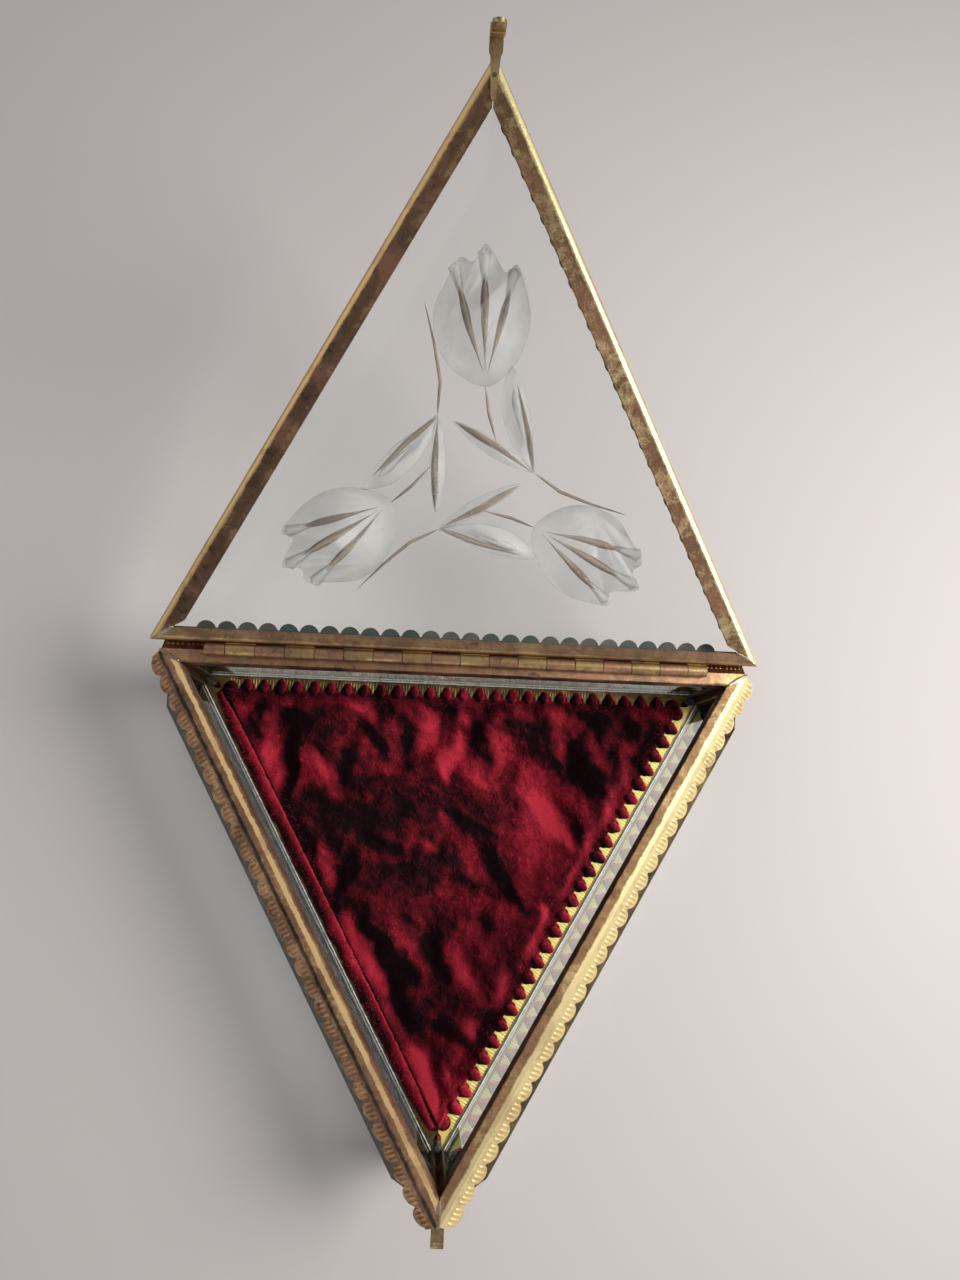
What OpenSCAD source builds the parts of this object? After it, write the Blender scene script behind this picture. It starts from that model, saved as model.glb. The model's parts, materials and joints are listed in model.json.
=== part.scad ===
// Triangular casket of bevelled glass panels held in folded sheet brass.
// Millimetres, +Z up, origin at the centre of the underside. The hinge side faces +Y and the
// front corner points to -Y. The lid is drawn open, at the angle where it rests on its stop.

/* [Box] */
// Side of the triangle along the outer fold of the rim strip
rim_side = 100; // [85:1:130]
// Height of the box from its underside to the top of the rim strip
box_h = 24.5; // [22:0.5:40]
// Depth from the top of the rim down to the toothed strip round the cushion
well_depth = 15; // [10:0.5:16]

/* [Glass] */
// Thickness of the wall panels
wall_glass_t = 5.2; // [4.4:0.1:6]
// Thickness left at the bevelled edge of a wall panel
wall_edge_t = 1.5; // [1.2:0.1:2]
// Height of the bevel along the top and bottom of a wall panel
wall_bevel_h = 3; // [2.4:0.1:4]
// Width of the bevel down each end of a wall panel
end_bevel_w = 5; // [3:0.25:7]
// Thickness of the lid panel
lid_glass_t = 5; // [4.4:0.1:6]
// Thickness left at the bevelled edge of the lid panel
lid_edge_t = 3.4; // [2.8:0.1:3.4]
// Width of the bevel round the top of the lid panel
lid_bevel_w = 7; // [5:0.25:10]
// Length nipped off each point of the lid panel
lid_point_cut = 0.6; // [0.4:0.05:1.5]

/* [Brass strip] */
// Thickness of the sheet brass
sheet_t = 0.4; // [0.3:0.05:0.5]
// Depth of the lip that runs down the inner face of the glass
lip_h = 3; // [2.8:0.1:3.6]
// Width of the scalloped band, from the fold to the tips of its lobes
band_w = 3.6; // [3:0.1:3.8]
// Distance from one lobe to the next
lobe_pitch = 3.4; // [2.6:0.1:4.5]
// Straight edge left between neighbouring lobes
lobe_gap = 0.2; // [0.1:0.05:0.4]
// Depth of a lobe, from its tip to the valley beside it
lobe_depth = 1.2; // [0.6:0.1:1.3]
// Length of each band that is cut off square at a corner
band_cut = 0.5; // [0.3:0.1:2]
// Distance by which the lid's triangle is larger than the rim's, from centre to side
lid_overhang = 0.75; // [0:0.05:1.2]
// Width of the flat flange under the two front edges of the lid panel
lid_flange_w = 3.5; // [2.8:0.1:4]
// Width of the flat flange under the hinge edge of the lid panel
lid_back_flange_w = 2.4; // [2:0.1:4]
// Width of the scalloped band on the lid, from the fold to the tips of its lobes
lid_band_w = 3.1; // [2.8:0.1:3.8]
// Radius of the rounded fold round the underside of the lid
lid_fold_r = 1.1; // [0.5:0.1:1.2]

/* [Floor] */
// Thickness of the base plate
base_t = 0.8; // [0.5:0.1:1.2]
// Thickness of the card under the cushion
board_t = 1.2; // [0.8:0.1:2]
// Height of the cushion's crown above the toothed strip
crown_h = 1; // [0.4:0.1:1.6]
// Thickness of the toothed strip
tooth_t = 0.3; // [0.2:0.05:0.5]
// Width of the toothed strip from the glass to the points of its teeth
tooth_w = 2.6; // [2:0.1:3.4]
// Distance from one tooth to the next
tooth_pitch = 3.04; // [2.4:0.02:4]
// Width of the blunt point of a tooth
tooth_point = 0.36; // [0.2:0.02:0.6]

/* [Corner posts] */
// Length of each leg that covers the inner corner of the glass
post_leg = 1.6; // [1.2:0.1:2.4]
// Length of each flange that lies on the end bevel of a panel
post_flange = 3.2; // [2:0.1:4]
// Set-back of the panel ends from the inner corner
panel_setback = 0.8; // [0.6:0.05:1.2]

/* [Hinge] */
// Outer radius of the hinge knuckles
knuckle_r = 1.05; // [0.9:0.05:1.3]
// Length of a full knuckle with its gap
knuckle_pitch = 4.84; // [3.5:0.1:5]
// Number of full knuckles between the two short ones at the ends
knuckle_count = 16; // [8:2:16]
// Length of the short knuckle at each end
end_knuckle = 3.4; // [2.4:0.1:4]
// Radius of the hinge pin
pin_r = 0.5; // [0.4:0.05:0.6]
// Thickness of the hinge leaves
leaf_t = 0.35; // [0.25:0.05:0.4]
// Angle by which the lid stands open
lid_open = 155; // [120:1:155]

/* [Clasp] */
// Width of the tongue and of the catch
clasp_w = 2; // [1.6:0.1:3]
// Width of the tongue's foot at the corner of the lid
foot_w = 1.6; // [1.4:0.1:1.6]
// Width of the round inner end of the tongue's foot
foot_tip_w = 0.8; // [0.6:0.1:1.2]
// Length of the tongue's foot from the corner of the lid inwards
foot_len = 6.4; // [5:0.2:8]
// Reach of the tongue's foot beyond the corner of the lid
tongue_reach = 3.4; // [3:0.1:5]
// Distance by which the tongue bends back in below its foot
tongue_lean = 2.2; // [0.5:0.1:2.5]
// Height over which the tongue bends back in
tongue_bend_h = 2.6; // [1.5:0.1:3.4]
// Drop of the tongue below the underside of the lid
tongue_drop = 7.5; // [5:0.25:9]
// Thickness of the tongue
tongue_t = 0.5; // [0.4:0.05:0.8]
// Radius of the rivet that holds the tongue
rivet_r = 0.3; // [0.25:0.05:0.35]
// Distance of the rivet from the corner of the lid
rivet_inset = 3.1; // [2.8:0.1:3.6]
// Radius of the nib on the inside of the tongue
nib_r = 0.3; // [0.2:0.05:0.4]
// Radius of the roll at the end of the catch
roll_r = 0.7; // [0.5:0.05:0.9]
// Depth of the catch below the top of the rim
catch_drop = 2.4; // [2.3:0.1:4]
// Height of the catch's leg on the corner post
catch_leg_h = 5; // [3:0.25:8]

/* [Fits] */
// Gap round glass in its channel, and between strips that meet
fit = 0.1; // [0.05:0.01:0.15]
// Radial gap between the pin and the knuckles
pin_fit = 0.05; // [0.02:0.01:0.1]
// Gap between the moving side of the hinge and the fixed side
swing_gap = 0.12; // [0.1:0.01:0.2]
// Gap round the soft cushion
soft_gap = 0.3; // [0.2:0.05:0.5]

/* [Hidden] */
$fn = 32;

BACK = 0;
LEFT = 120;
RIGHT = -120;
ROOT3 = sqrt(3);
// Extra length of a cutting shape past what it cuts
over = 1;

brass = "darkgoldenrod";
dark_brass = "saddlebrown";
bright_brass = "gold";
clear_glass = [0.7, 0.85, 0.8, 0.5];
velvet = "darkred";

// Box section, measured from the centre line outwards
rim_r = rim_side / (2 * ROOT3);
bevel_angle = atan2(wall_bevel_h, wall_glass_t - wall_edge_t);
fold_run = (fit + sheet_t) * tan(bevel_angle / 2);
strip_w = sheet_t + fit + wall_edge_t + fold_run;
rim_in = rim_r - strip_w;
glass_in = rim_in + sheet_t + fit;
glass_out = glass_in + wall_glass_t;
panel_half = ROOT3 * glass_in - panel_setback;
band_half = ROOT3 * rim_r - band_cut;
floor_z = box_h - well_depth;

// Hinge line and lid
knuckle_out = knuckle_r + swing_gap;
axis_y = rim_r;
axis_z = box_h + knuckle_out;
lid_z = box_h + leaf_t + fit;
lid_r = rim_r + lid_overhang;
lid_cy = axis_y - knuckle_out - lid_r;
lid_edge_h = lid_edge_t + 2 * (sheet_t + fit);
lid_bevel_angle = atan2(lid_glass_t - lid_edge_t, lid_bevel_w);
lid_corner_y = lid_cy - 2 * lid_r;
hinge_half = knuckle_count * knuckle_pitch / 2 + end_knuckle;

// Clasp, at the front corner
post_front = corner_reach();
tongue_top_y = lid_corner_y - tongue_reach;
tongue_y = tongue_top_y + tongue_lean;
catch_end = tongue_y + tongue_t + nib_r + fit;
foot_t = leaf_t - fit / 2;
rivet_y = lid_corner_y + rivet_inset;

// A point of the front left panel's plan, from its distances outwards and along the wall
function plan_point(out, along) = [
    -ROOT3 / 2 * out + along / 2,
    -out / 2 - ROOT3 / 2 * along
];

// Equilateral triangle by the distance from its centre to a side
module triangle(r) {
    polygon([[-ROOT3 * r, r], [ROOT3 * r, r], [0, -2 * r]]);
}

// Turns what is drawn for the back wall to the wall that faces the given direction
module on_side(turn) {
    rotate([0, 0, turn]) children();
}

// Draws a section given as (outwards, up) along the back wall
module along_wall(half_len) {
    rotate([90, 0, 90]) translate([0, 0, -half_len]) linear_extrude(2 * half_len) children();
}

// The share of space that belongs to the back wall, up to its two mitres
module mitred(height) {
    far = 2 * rim_side;
    intersection() {
        children();
        translate([0, 0, -over])
            linear_extrude(height + 2 * over)
                polygon([
                    [0, fit],
                    [far * cos(30), far * sin(30) + fit],
                    [-far * cos(30), far * sin(30) + fit]
                ]);
    }
}

// Centres of copies spaced evenly within a length
function spread(half_len, pitch) =
    let (n = floor(2 * half_len / pitch))
    [for (i = [0 : n - 1]) (i - (n - 1) / 2) * pitch];

// Round lobes along the edge of a band that leaves the fold at the given slope
module lobes(half_len, width, fold_y, fold_z, slope) {
    lobe_r = (lobe_pitch - lobe_gap) / 2;
    for (x = spread(half_len, lobe_pitch))
        translate([x, fold_y, fold_z])
            rotate([-slope, 0, 0])
                translate([0, 0, -sheet_t])
                    linear_extrude(sheet_t)
                        intersection() {
                            translate([0, width - lobe_r]) circle(lobe_r);
                            translate([-lobe_pitch, sheet_t]) square([2 * lobe_pitch, width]);
                        }
}

// Channel over the edge of the wall panels, with a scalloped band on the outer bevel
module wall_strip() {
    straight = band_w - lobe_depth;
    lean = [cos(bevel_angle), -sin(bevel_angle)];
    normal = [sin(bevel_angle), cos(bevel_angle)];
    fold = [rim_r, box_h];
    band_end = fold + straight * lean;
    mitred(box_h) {
        along_wall(band_half)
            polygon([
                [rim_in, box_h - lip_h],
                [rim_in + sheet_t, box_h - lip_h],
                [rim_in + sheet_t, box_h - sheet_t],
                [rim_r - sheet_t * tan(bevel_angle / 2), box_h - sheet_t],
                band_end - sheet_t * normal,
                band_end,
                fold,
                [rim_in, box_h]
            ]);
        lobes(band_half, band_w, rim_r, box_h, bevel_angle);
    }
}

// The same channel turned over, under the foot of the panels
module foot_strip() {
    translate([0, 0, box_h]) mirror([0, 0, 1]) wall_strip();
}

module rim_back() { color(brass) on_side(BACK) wall_strip(); }
module rim_left() { color(brass) on_side(LEFT) wall_strip(); }
module rim_right() { color(brass) on_side(RIGHT) wall_strip(); }
module sill_back() { color(dark_brass) on_side(BACK) foot_strip(); }
module sill_left() { color(dark_brass) on_side(LEFT) foot_strip(); }
module sill_right() { color(dark_brass) on_side(RIGHT) foot_strip(); }

// Wall panel, flat inside and bevelled on all four edges outside
module wall_panel() {
    low = sheet_t + fit;
    high = box_h - sheet_t - fit;
    shoulder = glass_in + wall_edge_t;
    intersection() {
        along_wall(panel_half)
            polygon([
                [glass_in, low],
                [shoulder, low],
                [glass_out, low + wall_bevel_h],
                [glass_out, high - wall_bevel_h],
                [shoulder, high],
                [glass_in, high]
            ]);
        linear_extrude(box_h)
            polygon([
                [-panel_half, glass_in],
                [panel_half, glass_in],
                [panel_half, shoulder],
                [panel_half - end_bevel_w, glass_out],
                [-panel_half + end_bevel_w, glass_out],
                [-panel_half, shoulder]
            ]);
    }
}

module glass_back() { color(clear_glass) on_side(BACK) wall_panel(); }
module glass_left() { color(clear_glass) on_side(LEFT) wall_panel(); }
module glass_right() { color(clear_glass) on_side(RIGHT) wall_panel(); }

// Direction of the end bevel in plan, and the way out of it, as (outwards, along)
function end_bevel() =
    let (run = [wall_glass_t - wall_edge_t, -end_bevel_w])
    run / norm(run);
function end_bevel_out() = [-end_bevel()[1], end_bevel()[0]];

// Corner of the post where its web meets the flange on the end bevel, as (outwards, along)
function post_root() =
    let (out = end_bevel_out())
    [glass_in + wall_edge_t + fit * (1 - out[1]) / out[0], panel_half + fit];

// Where the outer faces of the two flanges meet, in front of the corner
function corner_reach() =
    let (
        start = post_root() + sheet_t * end_bevel_out(),
        p = plan_point(start[0], start[1]),
        q = plan_point(start[0] + end_bevel()[0], start[1] + end_bevel()[1])
    )
    p[1] + (p[1] - q[1]) * -p[0] / (p[0] - q[0]);

// Corner post's plan: inner legs, a web between the panel ends, outer flanges
function post_half() =
    let (
        leg_out = glass_in - fit,
        leg_in = leg_out - sheet_t,
        leg_start = ROOT3 * leg_in - post_leg,
        root = post_root(),
        tip = root + post_flange * end_bevel(),
        tip_out = tip + sheet_t * end_bevel_out()
    )
    [
        plan_point(leg_in, leg_start),
        plan_point(leg_out, leg_start),
        plan_point(leg_out, root[1]),
        plan_point(root[0], root[1]),
        plan_point(tip[0], tip[1]),
        plan_point(tip_out[0], tip_out[1])
    ];

module post_plan() {
    half = post_half();
    last = len(half) - 1;
    polygon(concat(
        [[0, -2 * (glass_in - fit - sheet_t)]],
        half,
        [[0, post_front]],
        [for (i = [0 : last]) [-half[last - i][0], half[last - i][1]]]
    ));
}

// Folded post that joins two wall panels, between the lips of the sill and the rim. Its inner
// legs end on top of the toothed strips.
module corner_post() {
    difference() {
        translate([0, 0, lip_h]) linear_extrude(box_h - 2 * lip_h) post_plan();
        linear_extrude(floor_z + fit) triangle(glass_in);
    }
}

module corner_post_front() { color(dark_brass) corner_post(); }
module corner_post_back_right() { color(dark_brass) rotate([0, 0, 120]) corner_post(); }
module corner_post_back_left() { color(dark_brass) rotate([0, 0, -120]) corner_post(); }

module base_plate() {
    color(dark_brass) linear_extrude(base_t) triangle(rim_in - fit);
}

module cushion_board() {
    color("tan") translate([0, 0, base_t]) linear_extrude(board_t) triangle(rim_in - soft_gap);
}

// Padded floor: its border lies under the toothed strips and its crown rises between them
module cushion() {
    border_top = floor_z - tooth_t - soft_gap;
    crown_r = glass_in - tooth_w - soft_gap;
    color(velvet) {
        translate([0, 0, base_t + board_t])
            linear_extrude(border_top - base_t - board_t) triangle(rim_in - soft_gap);
        translate([0, 0, base_t + board_t])
            linear_extrude(floor_z + crown_h - base_t - board_t) triangle(crown_r);
    }
}

// Angle strip that stands on the sill's lip against the glass and holds the cushion down
module toothed_strip() {
    leg_out = glass_in - fit;
    point_y = glass_in - tooth_w;
    arch_r = (tooth_pitch - tooth_point) / 2;
    half = ROOT3 * leg_out;
    mitred(floor_z) {
        difference() {
            along_wall(half)
                polygon([
                    [leg_out, lip_h],
                    [leg_out, floor_z],
                    [point_y, floor_z],
                    [point_y, floor_z - tooth_t],
                    [leg_out - tooth_t, floor_z - tooth_t],
                    [leg_out - tooth_t, lip_h]
                ]);
            for (x = spread(half, tooth_pitch))
                translate([x, point_y, floor_z - 2 * tooth_t]) cylinder(h = 3 * tooth_t, r = arch_r);
        }
    }
}

module toothed_strip_back() { color(bright_brass) on_side(BACK) toothed_strip(); }
module toothed_strip_left() { color(bright_brass) on_side(LEFT) toothed_strip(); }
module toothed_strip_right() { color(bright_brass) on_side(RIGHT) toothed_strip(); }

// Left ends and lengths of the knuckles, counted from -X; even ones belong to the box
function knuckle_start(i) =
    i == 0 ? -hinge_half : -hinge_half + end_knuckle + (i - 1) * knuckle_pitch;
function knuckle_len(i) = i == 0 || i == knuckle_count + 1 ? end_knuckle : knuckle_pitch;

// Cylinders on the hinge line at every second knuckle
module barrel(first, r, gap) {
    for (i = [first : 2 : knuckle_count + 1])
        translate([knuckle_start(i) + gap / 2, axis_y, axis_z])
            rotate([0, 90, 0])
                cylinder(h = knuckle_len(i) - gap, r = r);
}

module pin_bore() {
    translate([-hinge_half - over, axis_y, axis_z])
        rotate([0, 90, 0])
            cylinder(h = 2 * (hinge_half + over), r = pin_r + pin_fit);
}

// Leaf on top of the back rim strip, rolled up into the box's knuckles
module hinge_leaf_box() {
    color(dark_brass) difference() {
        union() {
            translate([-hinge_half, rim_in + fit, box_h])
                cube([2 * hinge_half, axis_y - rim_in - fit, leaf_t]);
            barrel(0, knuckle_r, swing_gap);
        }
        barrel(1, knuckle_out, 0);
        pin_bore();
    }
}

module hinge_pin() {
    color("dimgray") translate([-hinge_half, axis_y, axis_z])
        rotate([0, 90, 0])
            cylinder(h = 2 * hinge_half, r = pin_r);
}

// Swings what is drawn for the closed lid about the hinge line to where it rests open
module opened() {
    translate([0, axis_y, axis_z])
        rotate([-lid_open, 0, 0])
            translate([0, -axis_y, -axis_z])
                children();
}

// Leaf that stands on the back edge of the lid, rolled down into the lid's knuckles
module hinge_leaf_lid() {
    color(dark_brass) opened() difference() {
        union() {
            translate([-hinge_half, axis_y - knuckle_out, axis_z])
                cube([2 * hinge_half, leaf_t, lid_z + lid_edge_h - axis_z]);
            translate([-hinge_half, axis_y - knuckle_out, axis_z])
                cube([2 * hinge_half, knuckle_out, leaf_t + pin_r + pin_fit]);
            barrel(1, knuckle_r, swing_gap);
        }
        barrel(0, knuckle_out, 0);
        pin_bore();
    }
}

// Draws for the lid's own triangle, whose origin is the centre of its underside
module on_lid() {
    translate([0, lid_cy, lid_z]) children();
}

// Section of the lid panel across one side: a flat underside, an upright edge, a wide bevel
module lid_panel_share(edge) {
    low = sheet_t + fit;
    along_wall(2 * lid_r)
        polygon([
            [-2 * lid_r, low],
            [edge, low],
            [edge, low + lid_edge_t],
            [edge - lid_bevel_w, low + lid_glass_t],
            [-2 * lid_r, low + lid_glass_t]
        ]);
}

module lid_glass() {
    edge = lid_r - sheet_t - fit;
    color(clear_glass) opened() on_lid() intersection() {
        on_side(BACK) lid_panel_share(edge);
        on_side(LEFT) lid_panel_share(edge);
        on_side(RIGHT) lid_panel_share(edge);
        linear_extrude(2 * lid_glass_t) mirror([0, 1, 0]) triangle(2 * edge - lid_point_cut);
    }
}

// Folded strip round the lid's edge: flat flange below, rounded fold, scalloped band above
module lid_strip(flange_w) {
    top = lid_edge_h;
    straight = lid_band_w - lobe_depth;
    lean = [-cos(lid_bevel_angle), sin(lid_bevel_angle)];
    normal = [sin(lid_bevel_angle), cos(lid_bevel_angle)];
    fold = [lid_r, top];
    fold_in = sheet_t * (1 - sin(lid_bevel_angle)) / cos(lid_bevel_angle);
    band_end = fold + straight * lean;
    half = ROOT3 * lid_r;
    mitred(2 * top) {
        difference() {
            union() {
                along_wall(half)
                    polygon([
                        [lid_r - flange_w, 0],
                        [lid_r, 0],
                        fold,
                        band_end,
                        band_end - sheet_t * normal,
                        [lid_r - sheet_t, top - fold_in],
                        [lid_r - sheet_t, sheet_t],
                        [lid_r - flange_w, sheet_t]
                    ]);
                mirror([0, 1, 0])
                    lobes(half - 2 * lid_band_w, lid_band_w, -lid_r, top, -lid_bevel_angle);
            }
            along_wall(half + over) difference() {
                translate([lid_r - lid_fold_r, -over]) square(lid_fold_r + over);
                translate([lid_r - lid_fold_r, lid_fold_r]) circle(lid_fold_r);
            }
        }
    }
}

module lid_bar(side, flange_w) {
    color(brass) opened() difference() {
        on_lid() on_side(side) lid_strip(flange_w);
        rivet_shank(rivet_r + pin_fit / 2);
    }
}

module lid_frame_back() { lid_bar(BACK, lid_back_flange_w); }
module lid_frame_left() { lid_bar(LEFT, lid_flange_w); }
module lid_frame_right() { lid_bar(RIGHT, lid_flange_w); }

// Upright pin through the tongue's foot and the corner of the lid frame
module rivet_shank(r) {
    translate([0, rivet_y, lid_z - foot_t]) cylinder(h = foot_t + sheet_t, r = r);
}

// Tongue: a tapering foot under the corner of the lid, a wider round shoulder, a plate that
// bends back in and hangs down to a round end, and a nib that passes close in front of the catch
module clasp_tongue() {
    half_w = clasp_w / 2;
    tip_r = foot_tip_w / 2;
    foot_end = lid_corner_y + foot_len - tip_r;
    bend_z = lid_z - tongue_bend_h;
    low_z = lid_z - tongue_drop;
    nib_z = lid_z - catch_drop - 2 * roll_r - leaf_t;
    color(brass) opened() difference() {
        union() {
            translate([0, 0, lid_z - foot_t]) linear_extrude(foot_t) {
                polygon([
                    [-foot_w / 2, lid_corner_y],
                    [foot_w / 2, lid_corner_y],
                    [tip_r, foot_end],
                    [-tip_r, foot_end]
                ]);
                translate([0, foot_end]) circle(tip_r);
                translate([0, lid_corner_y]) circle(half_w);
                translate([-half_w, tongue_top_y]) square([clasp_w, tongue_reach]);
            }
            intersection() {
                along_wall(half_w)
                    polygon([
                        [tongue_top_y, lid_z],
                        [tongue_y, bend_z],
                        [tongue_y, low_z],
                        [tongue_y + tongue_t, low_z],
                        [tongue_y + tongue_t, bend_z],
                        [tongue_top_y + tongue_t, lid_z]
                    ]);
                translate([0, lid_corner_y, 0]) rotate([90, 0, 0]) linear_extrude(tongue_reach) {
                    translate([0, low_z + half_w]) circle(half_w);
                    translate([-half_w, low_z + half_w]) square([clasp_w, tongue_drop - half_w]);
                }
            }
            translate([-half_w, tongue_y + tongue_t, nib_z])
                rotate([0, 90, 0])
                    cylinder(h = clasp_w, r = nib_r);
        }
        rivet_shank(rivet_r + pin_fit / 2);
    }
}

module clasp_rivet() {
    color(bright_brass) opened() rivet_shank(rivet_r);
}

// Catch: a leg soldered to the front corner post and a tab with a rolled end
module clasp_catch() {
    top = box_h - catch_drop;
    color(brass) {
        translate([-clasp_w / 2, post_front - tongue_t, top - catch_leg_h])
            cube([clasp_w, tongue_t, catch_leg_h]);
        translate([-clasp_w / 2, catch_end + roll_r, top - tongue_t])
            cube([clasp_w, post_front - tongue_t / 2 - catch_end - roll_r, tongue_t]);
        translate([-clasp_w / 2, catch_end + roll_r, top - roll_r + fit])
            rotate([0, 90, 0])
                cylinder(h = clasp_w, r = roll_r);
    }
}

base_plate();
cushion_board();
cushion();
toothed_strip_back();
toothed_strip_left();
toothed_strip_right();
glass_back();
glass_left();
glass_right();
rim_back();
rim_left();
rim_right();
sill_back();
sill_left();
sill_right();
corner_post_back_left();
corner_post_back_right();
corner_post_front();
hinge_leaf_box();
hinge_pin();
clasp_catch();
lid_glass();
lid_frame_back();
lid_frame_left();
lid_frame_right();
hinge_leaf_lid();
clasp_tongue();
clasp_rivet();
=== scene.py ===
import bpy
import json
import math
import random
from mathutils import Matrix, Vector, kdtree, noise

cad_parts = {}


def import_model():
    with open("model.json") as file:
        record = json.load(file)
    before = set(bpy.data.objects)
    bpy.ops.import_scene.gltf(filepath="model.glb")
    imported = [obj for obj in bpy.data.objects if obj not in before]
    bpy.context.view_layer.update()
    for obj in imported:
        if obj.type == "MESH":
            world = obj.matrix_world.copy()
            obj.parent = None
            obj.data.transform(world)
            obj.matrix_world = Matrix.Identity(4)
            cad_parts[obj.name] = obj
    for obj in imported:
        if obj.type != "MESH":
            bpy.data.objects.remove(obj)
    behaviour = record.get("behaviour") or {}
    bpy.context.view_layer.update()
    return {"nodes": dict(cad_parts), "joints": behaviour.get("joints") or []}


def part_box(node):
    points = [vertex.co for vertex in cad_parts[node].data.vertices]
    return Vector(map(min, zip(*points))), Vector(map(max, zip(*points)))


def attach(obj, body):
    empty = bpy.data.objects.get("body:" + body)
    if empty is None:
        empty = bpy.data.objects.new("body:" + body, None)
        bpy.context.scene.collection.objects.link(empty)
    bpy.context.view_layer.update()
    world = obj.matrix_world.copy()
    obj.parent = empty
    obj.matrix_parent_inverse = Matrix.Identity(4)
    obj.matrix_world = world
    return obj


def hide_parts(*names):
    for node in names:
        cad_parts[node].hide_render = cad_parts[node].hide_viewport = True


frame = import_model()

MM = 0.001
nodes = frame["nodes"]
scene = bpy.context.scene


def measure(metres):
    """A measure of the frame in mm, without the frame's rounding errors."""
    return round(metres / MM, 4)


# ---------------------------------------------------------------- sizes, in mm
ROOT3 = math.sqrt(3)
UP = Vector((0, 0, 1))
BACK, LEFT, RIGHT = 0.0, 120.0, -120.0
SIDES = (("back", BACK), ("left", LEFT), ("right", RIGHT))

# Read from the frame. The hinge's axis lies over the outer fold of the rim.
lid_hinge = frame["joints"][0]
AXIS_Y = RIM_R = measure(lid_hinge["pos_m"][1])
AXIS_Z = measure(lid_hinge["pos_m"][2])
LID_OPEN = math.radians(lid_hinge["range_deg"][1])
BAND_HALF = measure(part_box("rim_back")[1].x)
BOX_H = measure(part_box("rim_back")[1].z)
FLOOR_Z = measure(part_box("toothed_strip_back")[1].z)
CUSHION_Z = measure(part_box("cushion")[0].z)

# Box. Distances from the centre line outwards end in _R, _IN or _Y.
SHEET = 0.4
FIT = 0.1
WALL_GLASS = 5.2
WALL_EDGE = 1.5
WALL_BEVEL_H = 3.0
BEVEL = math.atan2(WALL_BEVEL_H, WALL_GLASS - WALL_EDGE)
RIM_IN = RIM_R - (SHEET + FIT + WALL_EDGE + (SHEET + FIT) * math.tan(BEVEL / 2))
GLASS_IN = RIM_IN + (SHEET + FIT)
LOBE_PITCH = 3.4
LOBE_R = 1.6
BAND_W = 3.6
TOOTH_W = 2.6
TOOTH_PITCH = 3.04
ARCH_R = 1.34
TOOTH_Y = GLASS_IN - TOOTH_W

# Lid, as it lies when closed. LID_Z is its underside, and the heights after it are from there.
LID_OVERHANG = 0.75
HINGE_LEAF = 0.35
LID_GLASS = 5.0
LID_EDGE = 3.4
LID_BEVEL_W = 7.0
LID_BAND_W = 3.1
LID_R = RIM_R + LID_OVERHANG
LID_CY = AXIS_Y - (AXIS_Z - BOX_H) - LID_R
LID_Z = BOX_H + HINGE_LEAF + FIT
LID_EDGE_H = LID_EDGE + 2 * (SHEET + FIT)
LID_TOP = LID_GLASS + SHEET + FIT
LID_SLOPE = math.atan2(LID_GLASS - LID_EDGE, LID_BEVEL_W)

# Velvet pad: its edge and mesh, its height in the open, where its crests are pressed down and
# how far they may rise past that, its height in the arches, under the strips and at the glass,
# and its underside
PAD_EDGE = RIM_IN - 0.35
PAD_STEP = 0.36
PAD_Z = FLOOR_Z - 0.15
CREST_Z = FLOOR_Z + 0.5
CREST_RISE = 0.35
ARCH_Z = FLOOR_Z - 0.08
COVERED_Z = FLOOR_Z - 0.55
FOOT_Z = FLOOR_Z - 0.6
PAD_LOW = CUSHION_Z + 0.05

# The sheet whose simulation gives the pad its creases
SHEET_EDGE = TOOTH_Y + 0.4
SHEET_STEP = 0.8
SHEET_SCALE = 10
SHEET_FRAMES = 20

# Rolled edge of the cloth, on the left
ROLL_FROM, ROLL_TO = -41.5, 42.0
ROLL_OUT = GLASS_IN - 1.8
ROLL_RADII = (1.35, 0.45)


def spread(half, pitch):
    """Centres of copies spaced evenly within a length."""
    n = math.floor(2 * half / pitch)
    return [(i - (n - 1) / 2) * pitch for i in range(n)]


def clamp(x):
    return min(max(x, 0.0), 1.0)


def smooth(x):
    x = clamp(x)
    return x * x * (3 - 2 * x)


def outward(turn):
    """The direction that a wall faces, by its turn from the back wall in degrees."""
    t = math.radians(turn)
    return Vector((-math.sin(t), math.cos(t), 0.0))


def on_side(turn, out, along, z):
    """A point by its distance outwards and along one wall, in mm."""
    n = outward(turn)
    return Vector((n.x * out + n.y * along, n.y * out - n.x * along, z))


def lid_turn(v):
    """Turns a direction of the closed lid to where the lid stands open."""
    return Matrix.Rotation(-LID_OPEN, 3, "X") @ v


def lid_point(x, y, z):
    """A point of the closed lid, from the lid's own centre and underside, where it stands open."""
    hinge = Vector((0.0, AXIS_Y, AXIS_Z))
    return hinge + lid_turn(Vector((x, y + LID_CY, z + LID_Z)) - hinge)


def lid_side(turn, out, along, z):
    """A point by its distance outwards and along one edge of the lid, in mm."""
    return lid_point(*on_side(turn, out, along, z))


def mitre(turn, out, z=0.0):
    """A point of the mitre at one end of a wall, by its distance outwards."""
    return on_side(turn, out, -ROOT3 * out, z)


def across_mitre(turn):
    """The level direction across that mitre."""
    n = mitre(turn, 1.0).normalized()
    return Vector((n.y, -n.x, 0.0))


# Centres of the arches along each toothed strip
ARCHES = spread(ROOT3 * (GLASS_IN - FIT), TOOTH_PITCH)


# ---------------------------------------------------------------- camera
PHOTO_W = 960
FOCAL_PX = 855.27
SENSOR_W = 36.0
CAMERA_AT = Vector((-6.395, 4.679, 167.223))


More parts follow.
